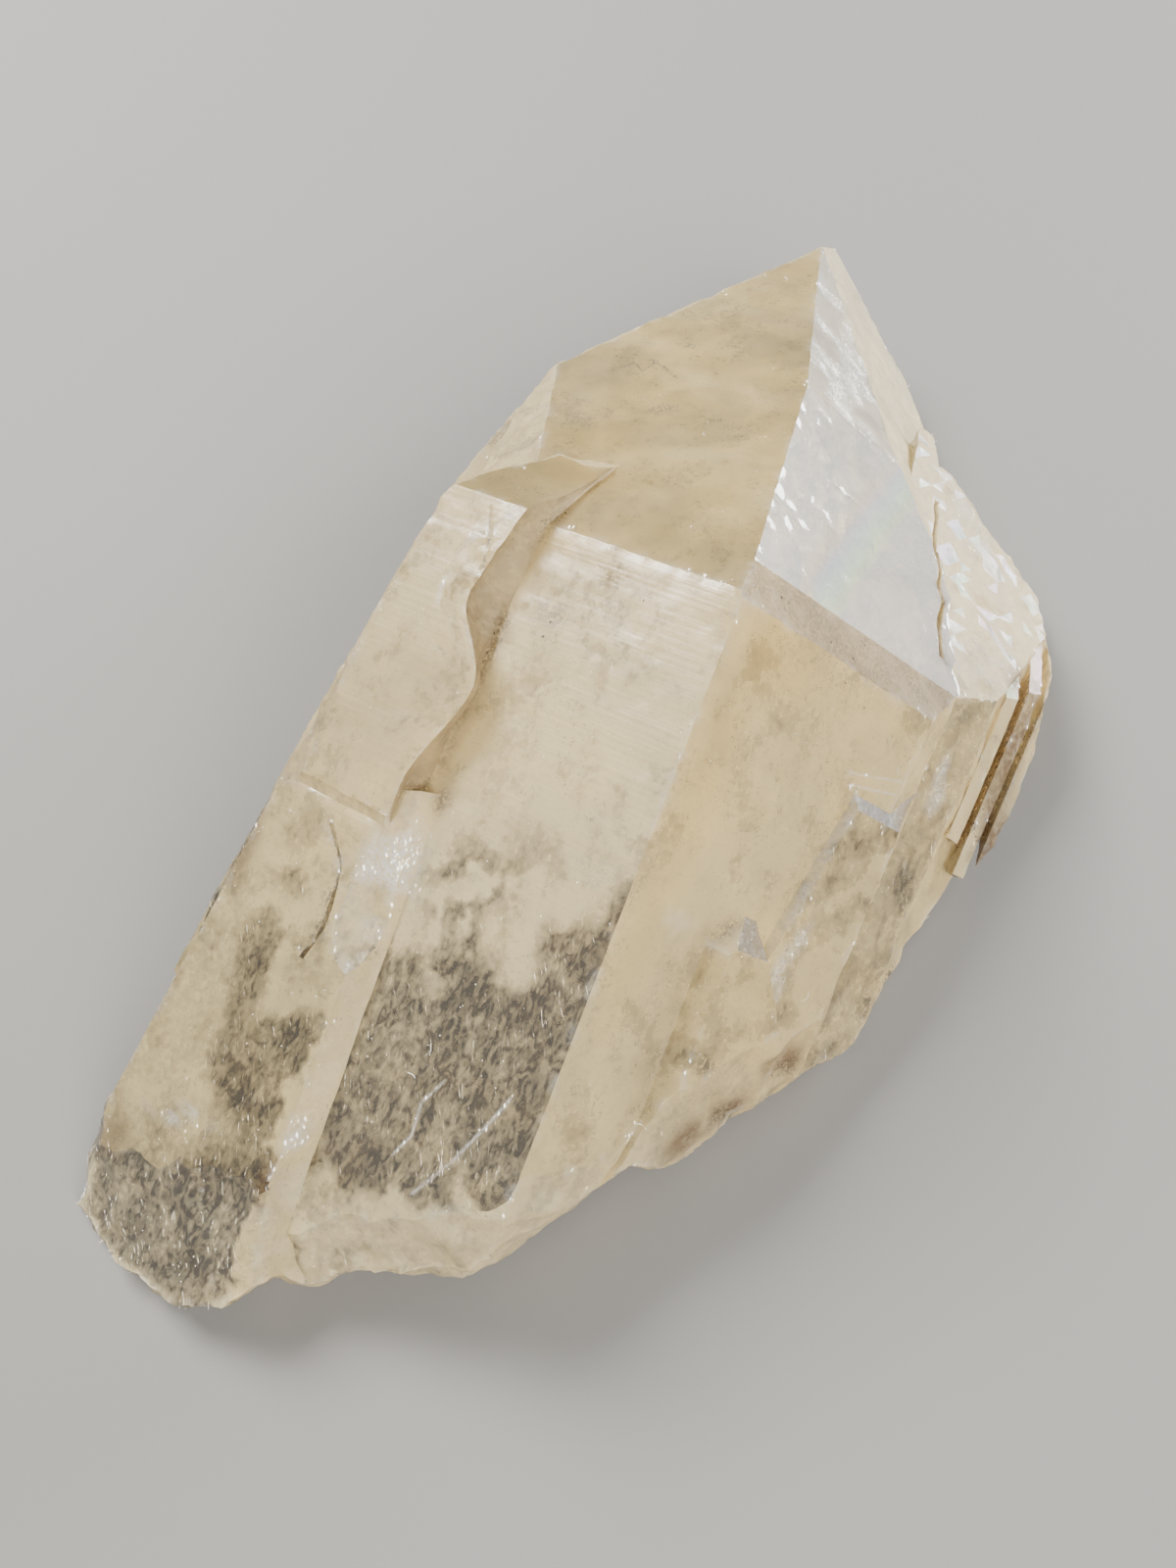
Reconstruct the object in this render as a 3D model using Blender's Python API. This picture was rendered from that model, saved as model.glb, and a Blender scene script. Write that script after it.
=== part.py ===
# Smoky quartz elestial crystal: parallel crystals grown together, broken off at the base,
# lying on its broken underside. While it grows, +Z runs along the long axis to the tip,
# +X out through the front ridge, and the origin is the corner where the four big faces meet.
import bpy
import bmesh
from math import radians, sin, cos
from mathutils import Matrix, Vector, noise

mm = 0.001
BODY_COLOUR = (0.60, 0.54, 0.40, 1.0)   # pale smoky honey

# how quartz grows: lean of a face's normal from the long axis, turn about it (degrees)
PRISM, RHOMB = 90.0, 51.8
FRONT_LEFT, FRONT_RIGHT, LEFT, RIGHT, BACK = -30.0, 30.0, -90.0, 90.0, 180.0
TAPER = 86.6                     # the right front prism face leans a little to the tip

# how the piece lies
AXIS_RISE, ROLL = 25.4, 16.9     # degrees
CORNER_HEIGHT = 70.0             # mm, the corner of the four faces above the table

# Each crystal is a list of growth faces, (turn, lean, distance from the corner in mm), and a
# list of broken faces, (turn, lean, distance, (out, across, along) near its middle, roughness).
MAIN = [
    (FRONT_LEFT, PRISM, 0.0),        # wide front prism face
    (FRONT_RIGHT, TAPER, 0.0),       # its neighbour across the front ridge
    (FRONT_LEFT, RHOMB, 0.0),        # big termination face
    (FRONT_RIGHT, RHOMB, 0.0),       # bright termination face
    (FRONT_RIGHT, 55.6, -0.5),       # narrow band under it
    (30.2, 47.9, 4.2),               # flaked part above it
    (43.0, 47.5, 13.3),              # and its right half
    (-72.0, RHOMB, 41.1),            # behind the left skyline
    (-52.6, 66.4, 13.9),             # small pale facet
    (58.0, 88.0, 21.6),              # bevel down the right of the front face
    (LEFT, PRISM, 46.0),
    (RIGHT, RHOMB, 84.0),
    (RIGHT, PRISM, 73.0),
    (150.0, RHOMB, 150.0),           # the back of the tip
    (-150.0, RHOMB, 134.0),
]
MAIN_BREAKS = [
    (-10.7, 115.7, 42.2, (0, -12, -108), 1.0),
    (42.3, 101.9, 25.0, (-6, 14, -92), 0.8),
]
PLATE = [                            # long proud crystal on the left, upper part
    (FRONT_LEFT, PRISM, 5.6),
    (FRONT_LEFT, RHOMB, 4.3),
    (LEFT, RHOMB, 36.2),
    (61.0, PRISM, -35.0),            # step down to the wide face
    (-61.8, 90.7, 33.8),             # thin bevel along the skyline
    (LEFT, 84.3, 47.5),
    (LEFT, 10.5, 20.5),
    (FRONT_LEFT, 120.0, 30.6),
    (BACK, PRISM, 75.0),
]
LOWER_PLATE = [                      # the same crystal further down, set back a little
    (FRONT_LEFT, PRISM, 4.6),
    (FRONT_RIGHT, 84.8, -31.4),
    (LEFT, 86.5, 49.0),
    (LEFT, 20.0, -33.0),
    (BACK, PRISM, 70.0),
]
LOWER_BREAKS = [
    (-27.3, 98.0, 18.4, (-16, -42, -122), 0.8),
]
SIDE = [                             # mass down the right side, set back from the front face
    (FRONT_RIGHT, TAPER, -4.6),
    (RIGHT, PRISM, 74.0),
    (LEFT, PRISM, -28.0),
    (60.0, 88.0, 28.5),
    (BACK, 60.0, 96.0),
]
SIDE_STEP = [                        # its lower step, which carries the ribs
    (42.0, 88.0, 6.5),
    (LEFT, PRISM, -48.0),
    (RIGHT, PRISM, 74.5),
    (25.0, 56.0, -9.0),
    (BACK, 60.0, 88.0),
]
SIDE_BREAKS = [
    (15.2, 51.3, -10.7, (-52, 46, 30), 0.3),       # silvery flaked top
]
KNOB = [                             # small crystal low on the right front face
    (FRONT_LEFT, PRISM, -14.7),
    (FRONT_RIGHT, TAPER, 3.5),
    (FRONT_LEFT, RHOMB, -41.7),
    (FRONT_RIGHT, RHOMB, -24.4),
    (RIGHT, RHOMB, -7.5),
    (BACK, PRISM, 60.0),
]
SHOULDER = [                         # flat crystal between the knob and the right side
    (FRONT_LEFT, 77.5, -33.7),
    (FRONT_RIGHT, TAPER, 1.6),
    (FRONT_RIGHT, RHOMB, -10.3),
    (70.0, 88.0, 31.5),
    (LEFT, PRISM, -20.0),
    (BACK, PRISM, 70.0),
]
RIM_BREAKS = [                       # cut through everything once it is grown together
    (45.3, 102.2, 27.6, (-22, 44, -54), 0.8),
]
RIBS = 3                             # narrow ribs beside the right edge
RIB_FIRST, RIB_STEP, RIB_WIDTH = 56.0, 5.2, 2.8     # mm across
FLANK = [                            # stepped crystals down the hidden left: (side, top, setback)
    (50.0, 26.0, 5.0), (54.0, -8.0, 8.0), (58.0, -44.0, 12.0), (61.0, -78.0, 15.0),
]

# scooped chips: (out, across, along) of the middle, then half sizes the same way, in mm
CHIPS = [
    ((-8.6, -30.0, -56.0), (6.0, 6.5, 9.5)), ((-9.6, -31.5, -66.0), (5.5, 7.5, 11.0)),
    ((-14.0, 44.5, -70.0), (9.0, 7.0, 9.0)),
]
CHIP_LUMPS = 0.5                      # mm

# open cracks: the face, (across, along) points down the line, width and depth in mm
CRACKS = [
    ((FRONT_RIGHT, RHOMB, 0.0),
     [(34.7, 45.9), (35.9, 34.2), (37.8, 30.1), (37.7, 26.2), (39.3, 23.6), (39.0, 17.6),
      (40.3, 11.6)], 1.3, 2.6),
    ((FRONT_LEFT, PRISM, 4.6),
     [(-41.5, -56.6), (-38.5, -59.9), (-37.0, -61.8), (-36.4, -64.4), (-36.0, -67.4),
      (-35.6, -71.3), (-36.0, -74.5), (-36.8, -76.9)], 0.7, 1.4),
]

# outline of the piece seen along the front ridge, (across, along) in mm, clockwise from the tip
OUTLINE = [
    (-10.8, 48.8), (-8.7, 49.8), (-3.9, 48.8), (6.1, 41.9), (12.4, 37.2), (13.8, 34.6),
    (18.0, 28.2), (19.9, 27.8), (29.8, 22.1), (39.3, 17.4), (45.8, 8.0), (49.2, -8.3),
    (48.5, -17.2), (47.6, -37.5), (46.4, -45.5), (42.2, -52.2), (33.7, -64.0), (28.0, -73.3),
    (24.4, -80.3), (19.3, -81.7), (7.5, -101.5), (4.2, -105.3), (-8.7, -110.0), (-14.7, -115.1),
    (-20.3, -115.7), (-24.9, -122.8), (-31.0, -124.9), (-40.6, -122.3), (-49.2, -117.5),
    (-51.3, -96.0), (-49.9, -74.3), (-47.1, -34.9), (-44.3, -6.2), (-37.6, 17.5), (-12.8, 46.7),
]
EYE = Vector((166.8, -20.3, -36.7))   # the sides flare away from this point
RAGGED_FROM, RAGGED_TO = 3, 29        # outline points between which the side is broken
RAGGED = 0.9                          # mm

# undercut round the foot: (compass turn, slope from the table in degrees, inset in mm)
FOOT = [(-105.0, 26.0, 3.0), (-60.0, 42.0, 8.0), (-35.0, 40.0, 9.0), (-10.0, 36.0, 7.0),
        (25.0, 40.0, 12.0), (55.0, 48.0, 18.0), (92.0, 54.0, 24.0), (130.0, 52.0, 20.0),
        (180.0, 62.0, 6.0), (-50.0, 9.0, 38.0), (15.0, 11.0, 30.0), (85.0, 13.0, 52.0),
        (175.0, 10.0, 24.0)]


def facing(turn, lean):
    t, n = radians(turn), radians(lean)
    return Vector((sin(n) * cos(t), sin(n) * sin(t), cos(n)))


def quartzMaterial():
    made = bpy.data.materials.new("smoky_quartz")
    made.use_nodes = True
    shader = made.node_tree.nodes["Principled BSDF"]
    shader.inputs["Base Color"].default_value = BODY_COLOUR
    shader.inputs["Roughness"].default_value = 0.12
    shader.inputs["Metallic"].default_value = 0.0
    shader.inputs["Transmission Weight"].default_value = 0.7
    shader.inputs["IOR"].default_value = 1.544
    made.diffuse_color = BODY_COLOUR
    return made


def newObject(name, bm, collection):
    bmesh.ops.recalc_face_normals(bm, faces=bm.faces)
    mesh = bpy.data.meshes.new(name)
    bm.to_mesh(mesh)
    bm.free()
    made = bpy.data.objects.new(name, mesh)
    collection.objects.link(made)
    return made


def crystal(name, faces, collection, size=420.0):
    """A block cut down by its flat growth faces."""
    bm = bmesh.new()
    bmesh.ops.create_cube(bm, size=size * mm)
    for turn, lean, distance in faces:
        normal = facing(turn, lean)
        cut = bmesh.ops.bisect_plane(
            bm, geom=bm.verts[:] + bm.edges[:] + bm.faces[:], dist=1e-7,
            plane_co=normal * distance * mm, plane_no=normal, clear_outer=True)
        edges = [e for e in cut["geom_cut"] if isinstance(e, bmesh.types.BMEdge)]
        if edges:
            bmesh.ops.contextual_create(bm, geom=edges)
    return newObject(name, bm, collection)


def combine(base, other, operation):
    step = base.modifiers.new("join", "BOOLEAN")
    step.operation, step.solver, step.object = operation, "EXACT", other
    bpy.context.view_layer.update()
    graph = bpy.context.evaluated_depsgraph_get()
    mesh = bpy.data.meshes.new_from_object(base.evaluated_get(graph))
    base.modifiers.clear()
    base.data = mesh
    bm = bmesh.new()
    bm.from_mesh(mesh)
    bmesh.ops.triangulate(bm, faces=bm.faces)
    bmesh.ops.remove_doubles(bm, verts=bm.verts, dist=0.001 * mm)
    bmesh.ops.dissolve_degenerate(bm, edges=bm.edges, dist=0.001 * mm)
    bm.to_mesh(mesh)
    bm.free()


def roughness(point, grain):
    """Shallow scoops with sharp ridges between them, in mm for a point in mm."""
    scoop = 1.0 - 2.2 * abs(noise.noise(point / (4.2 * grain)))
    return scoop - 0.5 + 0.5 * noise.noise(point / (1.7 * grain))


def roughSlab(name, normal, middle, rough, collection, span=130.0, cells=42, grain=2.2):
    """A slab with one broken face, to cut a crystal with."""
    bm = bmesh.new()
    bmesh.ops.create_grid(bm, x_segments=cells, y_segments=cells, size=span / 2 * mm)
    turned = normal.to_track_quat("Z", "Y").to_matrix().to_4x4()
    lay = Matrix.Translation(middle * mm) @ turned
    flat = bm.verts[:]
    for vert in flat:
        place = lay @ vert.co / mm
        vert.co.z = rough * roughness(place, grain) * mm
    grown = bmesh.ops.extrude_face_region(bm, geom=bm.faces[:])
    for vert in [g for g in grown["geom"] if isinstance(g, bmesh.types.BMVert)]:
        vert.co.z = 0.5 * span * mm
    bmesh.ops.transform(bm, matrix=lay, verts=bm.verts)
    return newObject(name, bm, collection)


def breakFaces(base, breaks, collection):
    for index, (turn, lean, distance, near, rough) in enumerate(breaks):
        normal = facing(turn, lean)
        near = Vector(near)
        middle = near + normal * (distance - normal.dot(near))
        slab = roughSlab(f"{base.name}_break{index}", normal, middle, rough, collection)
        combine(base, slab, "DIFFERENCE")


def chipBall(name, middle, sizes, collection):
    """A lumpy ball that scoops out a chip."""
    bm = bmesh.new()
    bmesh.ops.create_icosphere(bm, subdivisions=3, radius=1.0)
    for vert in bm.verts:
        place = middle + Vector(size * v for size, v in zip(sizes, vert.co))
        vert.co = (place + vert.normal * CHIP_LUMPS * noise.noise(place / 3.0)) * mm
    return newObject(name, bm, collection)


def crackWedge(name, face, path, width, depth, collection, lift=1.5):
    """A narrow wedge along a line that runs up a face."""
    normal = facing(*face[:2])
    bm = bmesh.new()
    bmesh.ops.create_cube(bm, size=1.0)
    long = [e for e in bm.edges if abs(e.verts[0].co.z - e.verts[1].co.z) > 0.5]
    bmesh.ops.subdivide_edges(bm, edges=long, cuts=len(path) - 2, use_grid_fill=True)
    for vert in bm.verts:
        along = round((0.5 - vert.co.z) * (len(path) - 1))
        across, up = path[along]
        out = (face[2] - normal.y * across - normal.z * up) / normal.x
        share = 1.0 + lift / depth if vert.co.x > 0 else 0.06
        place = Vector((out, across + width * share * vert.co.y, up))
        vert.co = (place + normal * (lift if vert.co.x > 0 else -depth)) * mm
    return newObject(name, bm, collection)


def outlineCone(name, points, near, far, collection, step=3.2, layers=20):
    """The outline drawn out to a cone, its broken stretch roughened."""
    ring, broken = [], []
    for i, start in enumerate(points):
        end = points[(i + 1) % len(points)]
        start, end = Vector((0, *start)), Vector((0, *end))
        ragged = RAGGED_FROM <= i < RAGGED_TO
        count = max(1, round((end - start).length / step)) if ragged else 1
        for j in range(count):
            ring.append(start.lerp(end, j / count))
            broken.append(ragged)
    bm = bmesh.new()
    bmesh.ops.create_circle(bm, cap_ends=False, segments=len(ring), radius=mm)
    heart = sum(ring, Vector()) / len(ring)
    rings = [bm.verts[:]]
    edges = bm.edges[:]
    for _ in range(layers):
        grown = bmesh.ops.extrude_edge_only(bm, edges=edges)["geom"]
        rings.append([g for g in grown if isinstance(g, bmesh.types.BMVert)])
        edges = [g for g in grown if isinstance(g, bmesh.types.BMEdge)]
    for level, verts in enumerate(rings):
        deep = near + (far - near) * level / layers
        reach = (EYE.x - deep) / EYE.x
        for vert, flat, rough in zip(verts, ring, broken):
            place = EYE + (flat - EYE) * reach
            if rough:
                outward = (flat - heart).normalized()
                place += outward * RAGGED * roughness(place, 1.6)
            vert.co = place * mm
    bmesh.ops.holes_fill(bm, edges=bm.edges[:], sides=0)
    return newObject(name, bm, collection)


def extent(obj):
    """Its lowest and highest corner."""
    reach = [[v.co[i] for v in obj.data.vertices] for i in range(3)]
    return Vector(map(min, reach)), Vector(map(max, reach))


for old in list(bpy.data.objects):
    bpy.data.objects.remove(old, do_unlink=True)

stone = bpy.data.collections.new("smoky_quartz_elestial")
helpers = bpy.data.collections.new("cutters")
for group in (stone, helpers):
    bpy.context.scene.collection.children.link(group)
helpers.hide_render = True

body = crystal("quartz_crystal", MAIN, stone)
breakFaces(body, MAIN_BREAKS, helpers)
for name, faces, breaks in (("plate", PLATE, []), ("lower_plate", LOWER_PLATE, LOWER_BREAKS),
                            ("side", SIDE, SIDE_BREAKS), ("side_step", SIDE_STEP, []),
                            ("shoulder", SHOULDER, []), ("knob", KNOB, [])):
    part = crystal(name, faces, helpers)
    breakFaces(part, breaks, helpers)
    combine(body, part, "UNION")
for index in range(RIBS):
    across = RIB_FIRST + RIB_STEP * index
    rib = crystal(f"rib{index}", [
        (LEFT, PRISM, -across), (RIGHT, PRISM, across + RIB_WIDTH),
        (FRONT_RIGHT, TAPER, -6.0 - 1.1 * index), (15.2, 51.3, -11.4),
        (0.0, 180.0, 16.0 + 5.0 * index), (BACK, PRISM, 84.0)], helpers)
    combine(body, rib, "UNION")
for index, (side, top, setback) in enumerate(FLANK):
    step = crystal(f"flank{index}", [
        (LEFT, PRISM, side), (LEFT, RHOMB, side * sin(radians(RHOMB)) + top * cos(radians(RHOMB))),
        (FRONT_LEFT, PRISM, -setback), (FRONT_LEFT, RHOMB, -1.5 * setback),
        (150.0, RHOMB, 104.0 - 9.0 * index), (-150.0, RHOMB, 100.0 - 9.0 * index),
        (RIGHT, PRISM, -4.0 - 3.0 * index), (0.0, 180.0, 150.0 + 4.0 * index)], helpers)
    combine(body, step, "UNION")
breakFaces(body, RIM_BREAKS, helpers)

for index, (middle, sizes) in enumerate(CHIPS):
    combine(body, chipBall(f"chip{index}", Vector(middle), sizes, helpers), "DIFFERENCE")
for index, (face, path, width, depth) in enumerate(CRACKS):
    wedge = crackWedge(f"crack{index}", face, path, width, depth, helpers)
    combine(body, wedge, "DIFFERENCE")
combine(body, outlineCone("outline", OUTLINE, 30.0, -120.0, helpers), "INTERSECT")

# laid down on the table
tilt = radians(AXIS_RISE)
lay = Matrix(((0, 1, 0), (-sin(tilt), 0, cos(tilt)), (cos(tilt), 0, sin(tilt)))).to_4x4()
place = (Matrix.Translation((0, 0, CORNER_HEIGHT * mm)) @ lay
         @ Matrix.Rotation(radians(ROLL), 4, "Z"))
body.data.transform(place)


low, high = extent(body)
shift = Vector((-(low.x + high.x) / 2, -(low.y + high.y) / 2, 0))
body.data.transform(Matrix.Translation(shift))

table = bmesh.new()
bmesh.ops.create_cube(table, size=1.0)
bmesh.ops.translate(table, verts=table.verts, vec=(0, 0, -0.5))
combine(body, newObject("under", table, helpers), "DIFFERENCE")

for index, (turn, slope, inset) in enumerate(FOOT):
    t, s = radians(turn), radians(slope)
    outward = Vector((cos(t), sin(t), 0))
    normal = outward * sin(s) - Vector((0, 0, cos(s)))
    reach = max(v.co.dot(outward) for v in body.data.vertices if v.co.z < 0.03) / mm
    slab = roughSlab(f"foot{index}", normal, outward * (reach - inset), 1.2, helpers, 150.0, 30, 3.0)
    combine(body, slab, "DIFFERENCE")

body.data.materials.clear()
body.data.materials.append(quartzMaterial())
low, high = extent(body)
recentre = Vector((-(low.x + high.x) / 2, -(low.y + high.y) / 2, -low.z))
body.data.transform(Matrix.Translation(recentre))
shift += recentre
print("size mm", [round(v / mm, 1) for v in high - low])

for helper in helpers.objects:
    helper.hide_render = True
    helper.display_type = "WIRE"
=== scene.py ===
import time
from math import radians, sin, cos

import bmesh
import bpy
import numpy as np
from mathutils import Matrix, Vector, kdtree
from mathutils.geometry import delaunay_2d_cdt


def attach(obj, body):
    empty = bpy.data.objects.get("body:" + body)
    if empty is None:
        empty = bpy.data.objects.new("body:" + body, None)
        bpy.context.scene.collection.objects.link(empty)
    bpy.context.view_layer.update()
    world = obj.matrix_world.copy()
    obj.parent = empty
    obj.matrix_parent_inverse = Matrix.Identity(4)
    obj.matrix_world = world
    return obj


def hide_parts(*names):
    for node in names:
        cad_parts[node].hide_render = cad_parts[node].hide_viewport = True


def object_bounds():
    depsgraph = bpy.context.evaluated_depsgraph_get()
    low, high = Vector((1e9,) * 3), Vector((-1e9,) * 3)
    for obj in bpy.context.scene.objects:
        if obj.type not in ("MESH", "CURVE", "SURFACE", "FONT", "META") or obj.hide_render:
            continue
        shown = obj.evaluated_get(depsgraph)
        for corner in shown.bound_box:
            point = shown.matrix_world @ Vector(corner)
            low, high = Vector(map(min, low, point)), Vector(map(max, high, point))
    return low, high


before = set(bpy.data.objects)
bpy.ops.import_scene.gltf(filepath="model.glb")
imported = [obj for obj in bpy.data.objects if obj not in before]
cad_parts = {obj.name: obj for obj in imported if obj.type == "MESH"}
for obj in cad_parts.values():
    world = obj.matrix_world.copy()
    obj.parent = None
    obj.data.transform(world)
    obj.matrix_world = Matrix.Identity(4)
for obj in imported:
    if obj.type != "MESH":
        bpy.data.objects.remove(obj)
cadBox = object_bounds()
mm = 0.001
clock = time.time()

# how the crystal lies: its own axes are out (through the front ridge), across, and along to the tip
lie = {"axisRise": 25.4, "roll": 16.9, "corner": (12.22, -8.03, 70.0)}   # degrees, mm
rise = radians(lie["axisRise"])
layDown = Matrix(((0, 1, 0), (-sin(rise), 0, cos(rise)), (cos(rise), 0, sin(rise)))).to_4x4()
fromCrystal = (Matrix.Translation(Vector(lie["corner"]) * mm) @ layDown
               @ Matrix.Rotation(radians(lie["roll"]), 4, "Z"))
toCrystal = fromCrystal.inverted()
turnToCrystal = np.array(toCrystal.to_3x3())


def addObject(name, data):
    made = bpy.data.objects.new(name, data)
    bpy.context.scene.collection.objects.link(made)
    return made


def meshOf(bm, name):
    made = bpy.data.meshes.new(name)
    bm.to_mesh(made)
    bm.free()
    return made


def intoCrystal(points):
    # metres in the scene to mm along the crystal's own axes
    return (points @ turnToCrystal.T + np.array(toCrystal.translation)) / mm


def outOfCrystal(points):
    return (points * mm - np.array(toCrystal.translation)) @ turnToCrystal


def faceNormal(turn, lean):
    turn, lean = radians(turn), radians(lean)
    return np.array((sin(lean) * cos(turn), sin(lean) * sin(turn), cos(lean)))


# noise on whole arrays of points, so that fields and relief share it
def latticeNoise(points, seed):
    base = np.floor(points).astype(np.int64)
    part = points - base
    part = part * part * (3 - 2 * part)
    total = np.zeros(len(points))
    for dx in (0, 1):
        for dy in (0, 1):
            for dz in (0, 1):
                mix = ((base[:, 0] + dx) * 374761393 + (base[:, 1] + dy) * 668265263
                       + (base[:, 2] + dz) * 1440662683 + seed * 974634777) & 0xffffffff
                mix = ((mix ^ (mix >> 13)) * 1274126177) & 0xffffffff
                mix ^= mix >> 16
                weight = np.ones(len(points))
                for axis, far in enumerate((dx, dy, dz)):
                    weight *= part[:, axis] if far else 1 - part[:, axis]
                total += weight * mix / 0xffffffff
    return total


def cloud(points, size, seed, octaves=4):
    # soft noise with an even spread between 0 and 1; size is that of its largest patches, in mm
    total, share = 0, 0
    for k in range(octaves):
        total = total + latticeNoise(points * (2 ** k / np.asarray(size, float)), seed + 17 * k) / 2 ** k
        share += 1 / 2 ** k
    return np.clip((total / share - 0.5) * 1.9 + 0.5, 0, 1)


def ramp(values, low, high):
    t = np.clip((values - low) / (high - low), 0, 1)
    return t * t * (3 - 2 * t)


def between(values, low, high):
    return (values > low) & (values < high)


def most(*fields):
    return np.maximum.reduce(fields)


def patch(points, place, radius):
    # 1 at the place, falling to 0 at the radius (one number or one per axis)
    away = np.linalg.norm((points - place) / np.asarray(radius, float), axis=1)
    return 1 - ramp(away, 0.25, 1)


def nearLine(points, line, width):
    best = np.full(len(points), 1e9)
    line = np.asarray(line, float)
    for a, b in zip(line[:-1], line[1:]):
        way = b - a
        t = np.clip((points - a) @ way / (way @ way), 0, 1)
        best = np.minimum(best, np.linalg.norm(points - a - t[:, None] * way, axis=1))
    return 1 - ramp(best, 0.35 * width, width)


# hairlines in the surface: places in mm, half width, depth (minus is raised), what fills them
strokes = [
    ([(-54.9, -31.9, 40.1), (-56, -30.6, 42.4), (-53, -28.2, 40.8), (-55.6, -27, 44.2), (-53.1, -24.6, 42.8),
      (-50.2, -22.2, 41.1)], 0.48, 0.14, "dirt"),
    ([(-34.2, 11.2, 30.5), (-40.6, 23.4, 30.5)], 0.35, 0.1, "dirt"),
    ([(-38.5, 18.3, 32.4), (-49.4, 37.6, 32.4)], 0.4, 0.12, "dirt"),
    ([(-16, 29.5, -15.3), (-22.9, 41, -11.9)], 0.3, 0.08, "frost"),
    ([(-16.2, 30.1, -17.1), (-21.6, 39.2, -14.8)], 0.3, 0.08, "frost"),
    ([(-15.8, -38.7, -1.9), (-14.9, -37.2, -4), (-14, -35.5, -6.2), (-12.8, -33.3, -11.6)], 0.35, 0.15, "dirt"),
    ([(-4, -6.9, -99), (-2.2, -3.8, -92), (-0.9, -1.6, -85), (0, 0, -79.5)], 0.42, -0.08, "frost"),
    ([(-5.5, -9.5, -83), (-6.4, -11.1, -87), (-6, -10.4, -92), (-6.8, -11.8, -96)], 0.35, 0.05, "frost"),
    ([(-18.6, -41.5, -56.6), (-16.2, -37.3, -61.3), (-15.5, -36, -67.4), (-15.9, -36.8, -76.9)], 0.45, 0.1, "dirt"),
]

# the body's fine mesh: each flat face gets an even net of points, closer along a hairline
bodyMesh = {
    "spacing": 1.15, "rowSpacing": 0.87, "edgeGap": 0.55,   # mm, and two shares of it
    "weld": 2e-6, "inside": 2e-5,   # metres; the second is the gap left inside the CAD box
    "flatAngle": 0.4, "sharpAngle": 22, "sameFace": 1.5,   # degrees
    "lineStep": 0.5, "lineRow": 0.38, "lineGap": 0.8,   # mm along a hairline, between its rows, and round it
    "lineReach": 0.35, "lineToEdge": 0.3, "lineApart": 0.2,   # mm off the face, from its edge, between two points
}


def strokePoints():
    # points along every hairline with a row at each side, and the direction of travel
    spots = []
    for line, width, depth, kind in strokes:
        line = np.asarray(line, float)
        for a, b in zip(line[:-1], line[1:]):
            steps = max(1, int(np.linalg.norm(b - a) / bodyMesh["lineStep"]))
            for k in range(steps):
                spots.append(np.concatenate((a + (b - a) * k / steps, (b - a) / np.linalg.norm(b - a))))
    spots = np.array(spots)
    return outOfCrystal(spots[:, :3]), spots[:, 3:] @ turnToCrystal


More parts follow.
